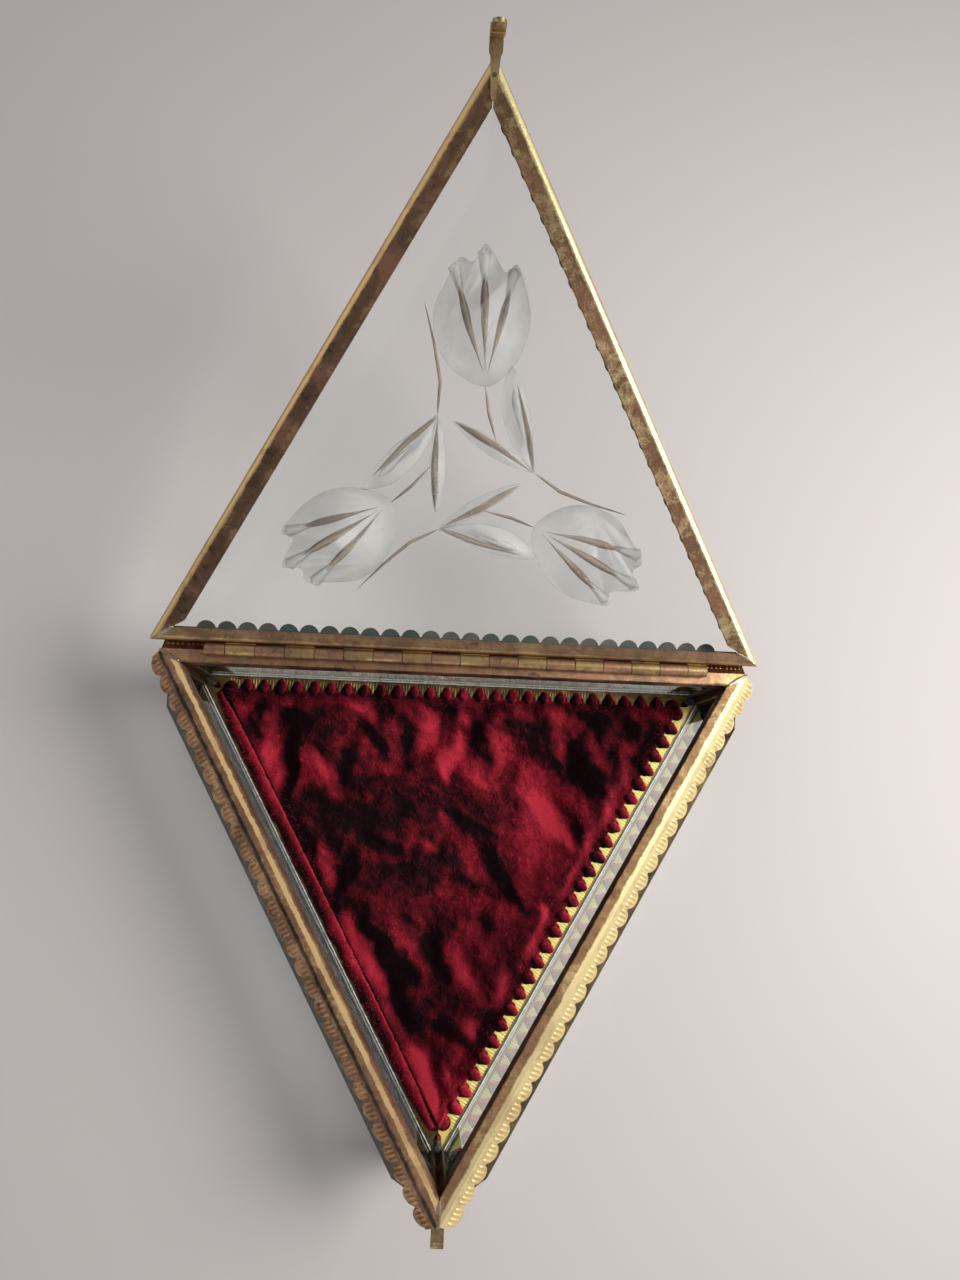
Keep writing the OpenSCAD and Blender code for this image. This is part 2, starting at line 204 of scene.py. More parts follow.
def set_camera():
    """The camera at the photo's angle. Its axes point right, down and ahead in the picture."""
    right = Vector((0.996695, 0.03326, 0.074115))
    down = Vector((0.046823, -0.980754, -0.189549))
    ahead = Vector((0.066384, 0.192393, -0.97907))
    data = bpy.data.cameras.new("camera")
    data.sensor_fit = "HORIZONTAL"
    data.sensor_width = SENSOR_W
    data.lens = FOCAL_PX / PHOTO_W * SENSOR_W
    data.clip_start = 0.005
    data.clip_end = 20.0
    cam = bpy.data.objects.new("camera", data)
    scene.collection.objects.link(cam)
    m = Matrix.Identity(4)
    for i in range(3):
        m[i][0], m[i][1], m[i][2] = right[i], -down[i], -ahead[i]
    m.translation = CAMERA_AT * MM
    cam.matrix_world = m
    scene.camera = cam


set_camera()


# ---------------------------------------------------------------- mesh and material helpers
def new_piece(name, verts, faces, material, body):
    """A mesh piece from points in mm. It rides on a body and takes the material given."""
    mesh = bpy.data.meshes.new(name)
    mesh.from_pydata([tuple(v * MM) for v in verts], [], faces)
    mesh.validate()
    mesh.materials.append(material)
    for p in mesh.polygons:
        p.use_smooth = True
    obj = bpy.data.objects.new(name, mesh)
    scene.collection.objects.link(obj)
    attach(obj, body)
    return obj


class Nodes:
    """Short-hand for building one material's node tree."""

    def __init__(self, name):
        self.mat = bpy.data.materials.new(name)
        self.mat.use_nodes = True
        self.tree = self.mat.node_tree
        self.tree.nodes.clear()
        self.out = self.tree.nodes.new("ShaderNodeOutputMaterial")
        self.bsdf = self.tree.nodes.new("ShaderNodeBsdfPrincipled")
        self.link(self.bsdf.outputs[0], self.out.inputs["Surface"])
        place = self.tree.nodes.new("ShaderNodeTexCoord")
        self.coord, self.normal = place.outputs["Object"], place.outputs["Normal"]

    def link(self, a, b):
        self.tree.links.new(a, b)

    def put(self, value, socket):
        if isinstance(value, bpy.types.NodeSocket):
            self.link(value, socket)
        else:
            socket.default_value = value

    def mapped(self, scale=(1, 1, 1), location=(0, 0, 0)):
        m = self.tree.nodes.new("ShaderNodeMapping")
        m.inputs["Scale"].default_value = scale
        m.inputs["Location"].default_value = location
        self.link(self.coord, m.inputs["Vector"])
        return m.outputs[0]

    def noise(self, scale, detail=4.0, rough=0.6, distortion=0.0, vector=None):
        n = self.tree.nodes.new("ShaderNodeTexNoise")
        n.inputs["Scale"].default_value = scale
        n.inputs["Detail"].default_value = detail
        n.inputs["Roughness"].default_value = rough
        n.inputs["Distortion"].default_value = distortion
        self.link(vector if vector else self.coord, n.inputs["Vector"])
        return n.outputs["Fac"]

    def math(self, op, a, b=0.0, clamped=False):
        n = self.tree.nodes.new("ShaderNodeMath")
        n.operation = op
        n.use_clamp = clamped
        self.put(a, n.inputs[0])
        self.put(b, n.inputs[1])
        return n.outputs[0]

    def weigh(self, *parts):
        """Sum of (socket, factor) pairs."""
        total = None
        for socket, factor in parts:
            term = self.math("MULTIPLY", socket, factor)
            total = term if total is None else self.math("ADD", total, term)
        return total

    def ramp(self, fac, low, high, out_low=0.0, out_high=1.0, shape="SMOOTHSTEP"):
        n = self.tree.nodes.new("ShaderNodeMapRange")
        n.interpolation_type = shape
        self.put(fac, n.inputs["Value"])
        n.inputs["From Min"].default_value = low
        n.inputs["From Max"].default_value = high
        n.inputs["To Min"].default_value = out_low
        n.inputs["To Max"].default_value = out_high
        return n.outputs["Result"]

    def steps(self, fac, stops):
        """Colour by position, from (position, colour) pairs."""
        n = self.tree.nodes.new("ShaderNodeValToRGB")
        while len(n.color_ramp.elements) < len(stops):
            n.color_ramp.elements.new(0.5)
        for e, (pos, color) in zip(n.color_ramp.elements, stops):
            e.position = pos
            e.color = (*color, 1.0)
        self.link(fac, n.inputs[0])
        return n.outputs["Color"]

    def mix(self, fac, a, b):
        n = self.tree.nodes.new("ShaderNodeMix")
        n.data_type = "RGBA"
        self.put(fac, n.inputs[0])
        for v, s in ((a, n.inputs[6]), (b, n.inputs[7])):
            self.put(v if isinstance(v, bpy.types.NodeSocket) else (*v, 1.0), s)
        return n.outputs[2]

    def dot(self, direction, vector=None):
        n = self.tree.nodes.new("ShaderNodeVectorMath")
        n.operation = "DOT_PRODUCT"
        self.link(vector if vector else self.coord, n.inputs[0])
        n.inputs[1].default_value = direction
        return n.outputs["Value"]

    def near(self, place, reach):
        """1 at a place, falling to 0 about its reach away, both in mm, with a ragged border."""
        reach *= MM
        n = self.tree.nodes.new("ShaderNodeVectorMath")
        n.operation = "DISTANCE"
        self.link(self.coord, n.inputs[0])
        n.inputs[1].default_value = tuple(v * MM for v in place)
        ragged = self.weigh((n.outputs["Value"], 1.0), (self.noise(210.0, 3.0), reach * 0.8))
        return self.ramp(ragged, reach * 0.5, reach * 1.4, 1.0, 0.0)

    def bump(self, height, strength, distance, normal=None):
        n = self.tree.nodes.new("ShaderNodeBump")
        n.inputs["Strength"].default_value = strength
        n.inputs["Distance"].default_value = distance
        self.link(height, n.inputs["Height"])
        if normal:
            self.link(normal, n.inputs["Normal"])
        return n.outputs[0]

    def set(self, **values):
        """Sets or links the shader's sockets, by their names in lower case."""
        for key, v in values.items():
            name = key.replace("_", " ").title().replace("Ior", "IOR")
            if isinstance(v, tuple):
                v = (*v, 1.0)
            self.put(v, self.bsdf.inputs[name])


def use(material, *names):
    """Gives CAD nodes a material."""
    for n in names:
        nodes[n].data.materials.clear()
        nodes[n].data.materials.append(material)


# ---------------------------------------------------------------- brass
PALE = (0.93, 0.76, 0.40)
GOLD = (0.80, 0.58, 0.22)
TAN = (0.29, 0.175, 0.085)
BROWN = (0.16, 0.085, 0.045)
BLACK = (0.018, 0.012, 0.009)
GREEN_BLACK = (0.02, 0.032, 0.026)
COPPER_PINK = (0.40, 0.19, 0.13)
WAVER, FINE_WAVER = 0.5, 0.25


def profile(m, origin, direction, stops):
    """How bright the metal is, 0 black, 0.5 brown, 1 bright, by its distance in mm along a
    direction from a point: wear, and on some strips painted highlights and painted shade. The borders waver
    a little, as worn edges do."""
    low, high, mean = stops[0][0], stops[-1][0], (WAVER + FINE_WAVER) / 2
    dist = m.math("SUBTRACT", m.dot(tuple(direction * (1 / MM))), origin.dot(direction))
    dist = m.weigh((dist, 1.0), (m.noise(520.0, 3.0), WAVER), (m.noise(1900.0, 2.0), FINE_WAVER))
    fac = m.ramp(dist, low + mean, high + mean, shape="LINEAR")
    return m.steps(fac, [((d - low) / (high - low), (v, v, v)) for d, v in stops])


def brass(name, bright, tan, dark, level=0.5, wear=1.0, pink=0.2, zones=None, rough=(0.5, 0.26), shine=1.0):
    """Old gilt brass: worn bright metal, brown tarnish, copper-pink patches and near-black
    grime. level is how bright it is on the whole; zones, if given, sets that from place to
    place, and on some strips also paints highlights and shade there. rough is its roughness where dark and
    where bright, shine how metallic it gets."""
    m = Nodes(name)
    cloud = m.noise(170.0, 5.0, 0.62, 0.6)
    grain = m.noise(800.0, 4.0, 0.65)
    fine = m.noise(3600.0, 3.0, 0.6)
    base = zones(m) if zones else level
    patchy = m.weigh((cloud, 1.5 * wear), (grain, 0.7 * wear), (fine, 0.3))
    mean = 1.1 * wear + 0.15
    # How bright the metal is: wear, plus the painted highlights and painted shade that zones carry on some
    # strips
    wear_and_light = m.math("ADD", base, m.math("SUBTRACT", patchy, mean), clamped=True)
    color = m.steps(wear_and_light, [(0.0, dark), (0.45, tan), (0.85, bright), (1.0, bright)])
    blush = m.noise(150.0, 3.0, 0.5, 0.4, m.mapped(location=(0.3, 0.1, 0.2)))
    color = m.mix(m.ramp(blush, 0.50, 0.66, 0.0, pink), color, COPPER_PINK)
    grime = m.ramp(m.noise(420.0, 6.0, 0.7, 1.2), 0.56, 0.68, 0.0, 0.8)
    hollows = m.math("SUBTRACT", 1.15, wear_and_light, clamped=True)
    color = m.mix(m.math("MULTIPLY", grime, hollows), color, dark)
    m.set(
        base_color=color,
        metallic=m.ramp(wear_and_light, 0.0, 0.6, 0.6, shine),
        roughness=m.math("ADD", m.ramp(wear_and_light, 0.2, 0.9, *rough), m.math("MULTIPLY", fine, 0.10)),
        normal=m.bump(m.weigh((grain, 1.0), (fine, 0.4)), 0.6, 0.00008),
    )
    return m.mat


def rim_zones(turn, stops):
    """Across a rim or a toothed strip, by distance outwards from the centre line."""
    return lambda m: profile(m, Vector((0, 0, 0)), outward(turn), stops)


def lid_zones(turn, stops, band):
    """Across the lid's flange, by distance outwards. The band above the glass has its own
    level, and its underside, which lies on the glass, is black: painted shade."""
    def zones(m):
        origin, up, black = lid_point(0, 0, 0), lid_turn(UP), 0.9
        flange = profile(m, origin, lid_turn(outward(turn)), stops)
        height = m.math("SUBTRACT", m.dot(tuple(up * (1 / MM))), origin.dot(up))
        # Painted shade: faces of the band that face down, onto the glass, are set black
        top = m.math("MULTIPLY", m.ramp(m.dot(tuple(up), m.normal), -0.2, 0.2), band + black)
        level = m.math("SUBTRACT", top, black)
        pick = m.ramp(height, LID_EDGE_H - 0.8, LID_EDGE_H - 0.2)
        rest = m.math("MULTIPLY", flange, m.math("SUBTRACT", 1.0, pick))
        return m.math("ADD", rest, m.math("MULTIPLY", level, pick))
    return zones


def rim_metals():
    """The rims, each worn and tarnished in its own way and with painted light and shade, and the sills."""
    right = brass(
        "strip_brass_right", PALE, TAN, BLACK, wear=0.5, pink=0.25, rough=(0.55, 0.42),
        # Right rim: painted shade on the inner lip; its bright fold is partly wear and partly a painted
        # highlight
        zones=rim_zones(RIGHT, [
            (26.5, 0.0), (26.72, 0.1), (26.9, 0.45), (28.0, 0.42),
            (28.35, 0.95), (28.9, 1.0), (29.1, 0.85), (32.0, 0.85),
        ]),
    )
    left = brass(
        "strip_brass_left", (0.96, 0.66, 0.30), (0.24, 0.13, 0.07), BLACK, wear=0.6, pink=0.35,
        # Left rim: painted shade on the inner lip and in the fold; the bright inner edge of its top is a
        # painted highlight
        shine=0.6, zones=rim_zones(LEFT, [
            (26.5, 0.1), (26.7, 0.4), (27.0, 0.5), (27.15, 1.0), (27.65, 1.0), (27.9, 0.45),
            (28.6, 0.4), (28.8, 0.0), (29.2, 0.05), (29.45, 0.45), (32.0, 0.5),
        ]),
    )
    back = brass(
        "strip_brass_back", (0.66, 0.44, 0.22), TAN, BLACK, wear=0.8, pink=0.7,
        # Back rim: painted shade on the inner lip
        zones=rim_zones(BACK, [(26.6, 0.1), (26.9, 0.25), (27.1, 0.6), (32.0, 0.6)]),
    )
    use(right, "rim_right")
    use(left, "rim_left")
    use(back, "rim_back")
    use(brass("strip_brass_sill", GOLD, BROWN, BLACK, level=0.45), "sill_back", "sill_left", "sill_right")


def lid_metals():
    """The strips round the lid."""
    right = brass(
        "strip_brass_lid_right", (0.96, 0.82, 0.42), (0.17, 0.095, 0.055), BLACK, wear=0.5,
        zones=lid_zones(RIGHT, [
            (25.8, 0.15), (26.3, 0.5), (28.2, 0.45), (28.5, 0.8), (28.8, 1.0), (29.7, 1.0),
        ], 0.75),
    )
    left = brass(
        "strip_brass_lid_left", (0.62, 0.42, 0.20), (0.15, 0.085, 0.05), BLACK, wear=0.8, pink=0.3,
        zones=lid_zones(LEFT, [
            (25.8, 0.35), (26.6, 0.5), (27.4, 0.3), (28.4, 0.35), (28.7, 0.95), (29.7, 0.95),
        ], 0.6),
    )
    back = brass(
        "strip_brass_lid_back", (0.52, 0.35, 0.18), (0.22, 0.13, 0.075), GREEN_BLACK, wear=0.8,
        pink=0.1, zones=lid_zones(BACK, [
            (26.8, 0.3), (27.6, 0.55), (28.6, 0.5), (29.0, 0.8), (29.7, 0.7),
        ], 0.25),
    )
    use(right, "lid_frame_right")
    use(left, "lid_frame_left")
    use(back, "lid_frame_back")


def fitting_metals():
    """The posts, the hinge, the clasp and the base plate."""
    post = brass("post_brass", (0.50, 0.34, 0.16), (0.16, 0.10, 0.055), BLACK, level=0.4, pink=0.3)
    leaf_box = brass("hinge_brass_box", (0.60, 0.38, 0.21), (0.29, 0.165, 0.10), BLACK, level=0.52, pink=0.5)
    leaf_lid = brass("hinge_brass_lid", (0.62, 0.46, 0.20), (0.30, 0.20, 0.10), BLACK, level=0.55, pink=0.2)
    pin = brass("pin_wire", (0.5, 0.42, 0.3), (0.2, 0.15, 0.1), BLACK, level=0.4, pink=0.0)
    clasp = brass("clasp_brass", (0.74, 0.56, 0.28), (0.24, 0.16, 0.09), BLACK, level=0.5, pink=0.2)
    rivet = brass("clasp_brass_rivet", (0.5, 0.36, 0.18), (0.12, 0.08, 0.05), BLACK, level=0.3, pink=0.0)
    plate = brass("base_brass", (0.50, 0.38, 0.18), (0.26, 0.18, 0.10), BROWN, level=0.5)
    use(post, "corner_post_back_left", "corner_post_back_right", "corner_post_front")
    use(leaf_box, "hinge_leaf_box")
    use(leaf_lid, "hinge_leaf_lid")
    use(pin, "hinge_pin")
    use(clasp, "clasp_catch", "clasp_tongue")
    use(rivet, "clasp_rivet")
    use(plate, "base_plate")


rim_metals()
lid_metals()
fitting_metals()

# Metals that nodes share with pieces made below
band_gold = brass(
    "strip_brass_ribs_right", (0.95, 0.76, 0.38), (0.55, 0.38, 0.17), BROWN, level=0.85, wear=0.5,
    pink=0.1, rough=(0.5, 0.4),
)
band_copper = brass(
    "strip_brass_ribs_left", (0.62, 0.38, 0.20), (0.36, 0.20, 0.11), BLACK, level=0.55, wear=0.9,
    pink=0.4,
)
tooth_gold = brass(
    "tooth_brass", (1.0, 0.80, 0.26), (0.24, 0.18, 0.07), BROWN, wear=0.35, pink=0.0,
    rough=(0.45, 0.2), shine=0.4, zones=rim_zones(RIGHT, [
        (TOOTH_Y - 0.5, 1.0), (TOOTH_Y + 1.5, 1.0), (TOOTH_Y + 1.9, 0.4), (TOOTH_Y + 3.0, 0.3),
    ]),
)
tooth_dull = brass("tooth_brass_dull", (0.50, 0.36, 0.14), (0.16, 0.10, 0.045), BLACK, level=0.45, pink=0.0)
use(tooth_gold, "toothed_strip_right")
use(tooth_dull, "toothed_strip_back", "toothed_strip_left")


# ---------------------------------------------------------------- board
def card():
    m = Nodes("board")
    fibre = m.noise(700.0, 5.0, 0.7, 0.0, m.mapped(scale=(1.0, 6.0, 1.0)))
    m.set(
        base_color=m.mix(fibre, (0.36, 0.28, 0.20), (0.50, 0.41, 0.31)),
        roughness=0.9,
        normal=m.bump(fibre, 0.3, 0.0001),
    )
    return m.mat


use(card(), "cushion_board")


# ---------------------------------------------------------------- glass
def glass(name, smear, density, shadow):
    """Clear old glass, green through its thickness, with a faint film of handling on its faces.
    smear is the film's roughness, and shadow the share of lamp light that gets through."""
    m = Nodes(name)
    wave = m.noise(60.0, 2.0, 0.4)
    film = m.noise(240.0, 5.0, 0.65, 0.8)
    m.set(
        base_color=(0.985, 1.0, 0.995),
        transmission_weight=1.0,
        roughness=m.ramp(film, 0.45, 0.75, 0.01, smear),
        ior=1.5,
        normal=m.bump(wave, 0.05, 0.0006),
    )
    tree = m.tree
    clear = tree.nodes.new("ShaderNodeBsdfTransparent")
    clear.inputs["Color"].default_value = (shadow, shadow, shadow, 1.0)
    path = tree.nodes.new("ShaderNodeLightPath")
    pick = tree.nodes.new("ShaderNodeMixShader")
    m.link(path.outputs["Is Shadow Ray"], pick.inputs[0])
    m.link(m.bsdf.outputs[0], pick.inputs[1])
    m.link(clear.outputs[0], pick.inputs[2])
    m.link(pick.outputs[0], m.out.inputs["Surface"])
    absorb = tree.nodes.new("ShaderNodeVolumeAbsorption")
    absorb.inputs["Color"].default_value = (0.25, 0.80, 0.68, 1.0)
    absorb.inputs["Density"].default_value = density
    m.link(absorb.outputs[0], m.out.inputs["Volume"])
    return m.mat


use(glass("wall_glass", 0.08, 15.0, 0.8), "glass_back")
use(glass("wall_glass_right", 0.08, 12.0, 0.97), "glass_right")
use(glass("wall_glass_left", 0.08, 15.0, 0.42), "glass_left")
use(glass("lid_glass", 0.03, 4.0, 1.0), "lid_glass")


# ---------------------------------------------------------------- tubes and lumps
def skin(faces, start, ring, rows, flipped=False):
    """The faces of a closed tube whose points stand in rows of a ring each, from index start."""
    end = start + (rows - 1) * ring
    for row in range(start, end, ring):
        for k in range(ring):
            a, b = row + k, row + (k + 1) % ring
            faces.append((a, a + ring, b + ring, b) if flipped else (a, b, b + ring, a + ring))
    first, last = range(start, start + ring), range(end, end + ring)
    faces.append(tuple(first if flipped else reversed(first)))
    faces.append(tuple(reversed(last) if flipped else last))


def tube(name, path, radii, material, body):
    """A piece that is one closed tube through a path of (point, side, up, scale)."""
    verts, faces, ring = [], [], 8
    for point, side, up, scale in path:
        for k in range(ring):
            a = 2 * math.pi * k / ring
            across, high = radii[0] * scale * math.cos(a), radii[1] * scale * math.sin(a)
            verts.append(point + side * across + up * high)
    skin(faces, 0, ring, len(path))
    return new_piece(name, verts, faces, material, body)


def rounded(i, last, lead, power):
    """The scale of a lump along its path: full in the middle and round at both ends."""
    return math.sin(math.pi * (i + lead) / (last + 2 * lead)) ** power


# ---------------------------------------------------------------- embossed ribs on the bands
# A rib's section along its length: share of the length, of the width and of the height
RIB_STATIONS = (
    (0.0, 0.55, 0.12), (0.1, 0.9, 0.6), (0.28, 1.0, 1.0),
    (0.75, 1.0, 1.0), (0.93, 0.8, 0.5), (1.0, 0.5, 0.1),
)
RIB_SINK = 0.02
RIBS_PER_LOBE = 4
RIB_SPACING = 0.76
BAND_RIB = (0.29, 0.18)
RIBS_PER_TOOTH = 6
TOOTH_RIB = (0.17, 0.11)


def rib(verts, faces, place, along, s0, s1, size):
    """One raised rib, half round, on a sloping band. place(s, a, h) gives the point at slope
    distance s, distance a along the band and height h above it. size is half its width, and
    its height."""
    half_w, high = size
    start, ring = len(verts), 5
    for f, w, h in RIB_STATIONS:
        s = s0 + (s1 - s0) * f
        for k in range(ring):
            a = math.pi * k / (ring - 1)
            verts.append(place(s, along - half_w * w * math.cos(a), high * h * math.sin(a) - RIB_SINK))
    skin(faces, start, ring, len(RIB_STATIONS), flipped=True)


def ribbed_band(name, place, half, width, root, material, body):
    """Ribs on each lobe of a band, from the distance root below its fold to the lobe's edge."""
    verts, faces = [], []
    for centre in spread(half, LOBE_PITCH):
        for k in range(RIBS_PER_LOBE):
            a = RIB_SPACING * (k - (RIBS_PER_LOBE - 1) / 2)
            end = width - LOBE_R + math.sqrt(LOBE_R ** 2 - a ** 2) - 0.2
            waver = noise.noise(Vector((centre + a, half, 0.0))) * 0.08
            rib(verts, faces, place, centre + a + waver, root, end, BAND_RIB)
    return new_piece(name, verts, faces, material, body)


def rim_place(turn):
    """Places for ribs on the band of a rim."""
    def place(s, a, h):
        out = RIM_R + s * math.cos(BEVEL) + h * math.sin(BEVEL)
        z = BOX_H - s * math.sin(BEVEL) + h * math.cos(BEVEL)
        return on_side(turn, out, a, z)
    return place


def sill_place(turn):
    """The same on a sill, which is a rim turned over."""
    def place(s, a, h):
        p = rim_place(turn)(s, -a, h)
        return Vector((p.x, p.y, BOX_H - p.z))
    return place


def lid_place(turn):
    """The same on the band above the lid's glass."""
    def place(s, a, h):
        out = LID_R - s * math.cos(LID_SLOPE) + h * math.sin(LID_SLOPE)
        z = LID_EDGE_H + s * math.sin(LID_SLOPE) + h * math.cos(LID_SLOPE)
        return lid_side(turn, out, -a, z)
    return place


RIB_METALS = {"back": band_copper, "left": band_copper, "right": band_gold}
for side, turn in SIDES:
    metal = RIB_METALS[side]
    lid_half = ROOT3 * LID_R - 2 * LID_BAND_W
    ribbed_band("rim_ribs_" + side, rim_place(turn), BAND_HALF, BAND_W, 1.15, metal, "casket")
    ribbed_band("sill_ribs_" + side, sill_place(turn), BAND_HALF, BAND_W, 1.15, metal, "casket")
    ribbed_band("lid_ribs_" + side, lid_place(turn), lid_half, LID_BAND_W, 0.8, metal, "lid")


def tooth_ribs(name, turn, material):
    """Fine ribs across the toothed strip, from the glass to its arches and teeth."""
    verts, faces = [], []

    def place(s, a, h):
        return on_side(turn, GLASS_IN - s, a, FLOOR_Z + h)

    for along in spread(ROOT3 * TOOTH_Y - 1.2, TOOTH_PITCH / RIBS_PER_TOOTH):
        near = min(abs(along - c) for c in ARCHES)
        end = TOOTH_W - 0.15 if near > ARCH_R else TOOTH_W - math.sqrt(ARCH_R ** 2 - near ** 2) - 0.08
        rib(verts, faces, place, along, 0.45, end, TOOTH_RIB)
    return new_piece(name, verts, faces, material, "casket")


tooth_ribs("tooth_ribs_right", RIGHT, tooth_gold)
tooth_ribs("tooth_ribs_back", BACK, tooth_dull)


# ---------------------------------------------------------------- cement, lumps of painted shade and solder
def cement():
    """The line of pale cement along the foot of each wall's glass."""
    m = Nodes("cement")
    crumb = m.noise(1800.0, 4.0, 0.7)
    m.set(
        base_color=m.mix(m.ramp(crumb, 0.4, 0.6), (0.50, 0.49, 0.44), (0.80, 0.80, 0.76)),
        roughness=0.85,
        normal=m.bump(crumb, 0.8, 0.0001),
    )
    half, last = ROOT3 * GLASS_IN - 2.6, 220
    for side, turn in SIDES:
        path = []
        for i in range(last + 1):
            along = -half + 2 * half * i / last
            wave = noise.noise(Vector((along * 0.5, turn, 0.0)))
            scale = 0.75 + 0.25 * noise.noise(Vector((along * 1.3, turn, 5.0)))
            centre = on_side(turn, GLASS_IN - 0.2 - 0.05 * wave, along, FLOOR_Z + 0.2 + 0.05 * wave)
            path.append((centre, outward(turn), UP, scale))
        tube("cement_" + side, path, (0.14, 0.17), m.mat, "casket")


def shade_lumps():
    """Dark lumps where the toothed strips meet, put in the corners where there is shade: painted shade."""
    m = Nodes("shade_lumps")
    crumb = m.noise(1500.0, 5.0, 0.7)
    m.set(
        base_color=m.mix(m.ramp(crumb, 0.45, 0.7), (0.012, 0.010, 0.009), (0.11, 0.085, 0.055)),
        roughness=0.6,
        normal=m.bump(crumb, 0.8, 0.0002),
    )
    for side, turn in SIDES:
        path, across, last = [], across_mitre(turn), 24
        for i in range(last + 1):
            out = GLASS_IN - 2.0 + 1.15 * (i / last)
            lump = noise.noise(Vector((out * 2.6, turn, 1.0)))
            scale = (0.8 + 0.5 * lump) * rounded(i, last, 0.8, 0.5)
            path.append((mitre(turn, out, FLOOR_Z + 0.12) + across * (0.3 * lump), across, UP, scale))
        tube("shade_lumps_" + side, path, (1.0, 0.4), m.mat, "casket")


def solder():
    """Thin runs of solder over the mitres of the rim and of the lid's flange."""
    metal = brass("solder", (0.62, 0.56, 0.46), (0.26, 0.19, 0.12), BLACK, level=0.5, pink=0.1)
    runs = [("casket", turn, RIM_IN + 0.15, RIM_R - 0.1) for _, turn in SIDES]
    runs += [("lid", turn, LID_R - 2.5, LID_R - 0.9) for turn in (BACK, RIGHT)]
    for i, (body, turn, start, end) in enumerate(runs):
        path, across, last, proud = [], across_mitre(turn), 18, 0.01
        for k in range(last + 1):
            out = start + (end - start) * k / last
            waver = noise.noise(Vector((out * 1.7, i * 3.1, 0.0)))
            scale = (0.8 + 0.35 * waver) * rounded(k, last, 1.2, 0.4)
            p = mitre(turn, out) + across * (0.15 * waver)
            if body == "casket":
                path.append((p + UP * (BOX_H + proud), across, UP, scale))
            else:
                path.append((lid_point(p.x, p.y, -proud), lid_turn(across), lid_turn(UP), scale))
        tube("solder_%d" % i, path, (0.42, 0.08), metal, body)


cement()
shade_lumps()
solder()


# ---------------------------------------------------------------- engraving on the lid
def frosted(name, pale, deep, alpha):
    """Ground glass, thin enough to see through by its alpha."""
    m = Nodes(name)
    streak = m.noise(420.0, 4.0, 0.6, 0.3)
    broad = m.noise(90.0, 2.0, 0.5)
    m.set(
        base_color=m.mix(m.ramp(broad, 0.35, 0.65), deep, pale),
        roughness=0.8,
        alpha=m.ramp(streak, 0.3, 0.7, alpha * 0.85, alpha),
        normal=m.bump(streak, 0.3, 0.00005),
    )
    return m.mat


frost = frosted("engraving_frost", (0.62, 0.60, 0.58), (0.48, 0.46, 0.44), 0.29)
groove_brown = frosted("engraving_groove", (0.27, 0.20, 0.14), (0.12, 0.075, 0.045), 0.72)
wedge_grey = frosted("engraving_wedge", (0.48, 0.46, 0.44), (0.37, 0.355, 0.34), 0.42)


def curve_points(points, steps=6):
    """A smooth closed outline through the points given."""
    out, n = [], len(points)
    for i in range(n):
        p0, p1, p2, p3 = (Vector(points[(i + k - 1) % n]) for k in range(4))
        for s in range(steps):
            t = s / steps
            a, b = 2 * p0 - 5 * p1 + 4 * p2 - p3, 3 * p1 - p0 - 3 * p2 + p3
            out.append(0.5 * (2 * p1 + (p2 - p0) * t + a * t * t + b * t ** 3))
    return out


def turned(p, turn):
    """A point of the lid's plan turned about its middle, in degrees."""
    return Matrix.Rotation(math.radians(turn), 2) @ Vector(p)


def petal(verts, faces, outline, turn):
    """A shallow cut area: its rim lies on the glass and its middle swells a touch."""
    pts = [turned(p, turn) for p in curve_points(outline)]
    centre = sum(pts, Vector((0, 0))) / len(pts)
    start, n = len(verts), len(pts)
    rings = ((1.0, 0.05), (0.8, 0.07), (0.4, 0.10))
    for r, lift in rings:
        for p in pts:
            q = centre.lerp(p, r)
            verts.append(lid_point(q.x, q.y, LID_TOP + lift))
    verts.append(lid_point(centre.x, centre.y, LID_TOP + 0.10))
    top = len(verts) - 1
    for k in range(len(rings) - 1):
        for i in range(n):
            a, b = start + k * n + i, start + k * n + (i + 1) % n
            faces.append((a, b, b + n, a + n))
    base = start + (len(rings) - 1) * n
    for i in range(n):
        faces.append((base + i, base + (i + 1) % n, top))
    faces.append(tuple(reversed(range(start, start + n))))


def groove(verts, faces, path, turn, width, peak, low, high, wedge=False):
    """A cut along a path, widest at the share peak of its length, with round flanks or straight
    ones like a wedge's. It shows on both sides of the frosted areas, from height low to height
    high over the glass."""
    pts, steps = [turned(p, turn) for p in path], 10
    dense = []
    for i in range(len(pts) - 1):
        dense += [pts[i].lerp(pts[i + 1], s / steps) for s in range(steps)]
    dense.append(pts[-1])
    start, n, blunt = len(verts), len(dense) - 1, 0.02
    power = math.log(0.5) / math.log(peak)
    for i, p in enumerate(dense):
        d = (dense[min(i + 1, n)] - dense[max(i - 1, 0)]).normalized()
        f = min(max(i / n, 0.001), 0.999)
        if wedge:
            half = width / 2 * min(f / peak, (1 - f) / (1 - peak)) + blunt
        else:
            half = width / 2 * math.sin(math.pi * f ** power) ** 0.8 + blunt
        side, middle = Vector((-d.y, d.x)) * half, (low + high) / 2
        for q, z in ((p + side, middle), (p, high), (p - side, middle), (p, low)):
            verts.append(lid_point(q.x, q.y, LID_TOP + z))
    skin(faces, start, 4, len(dense))


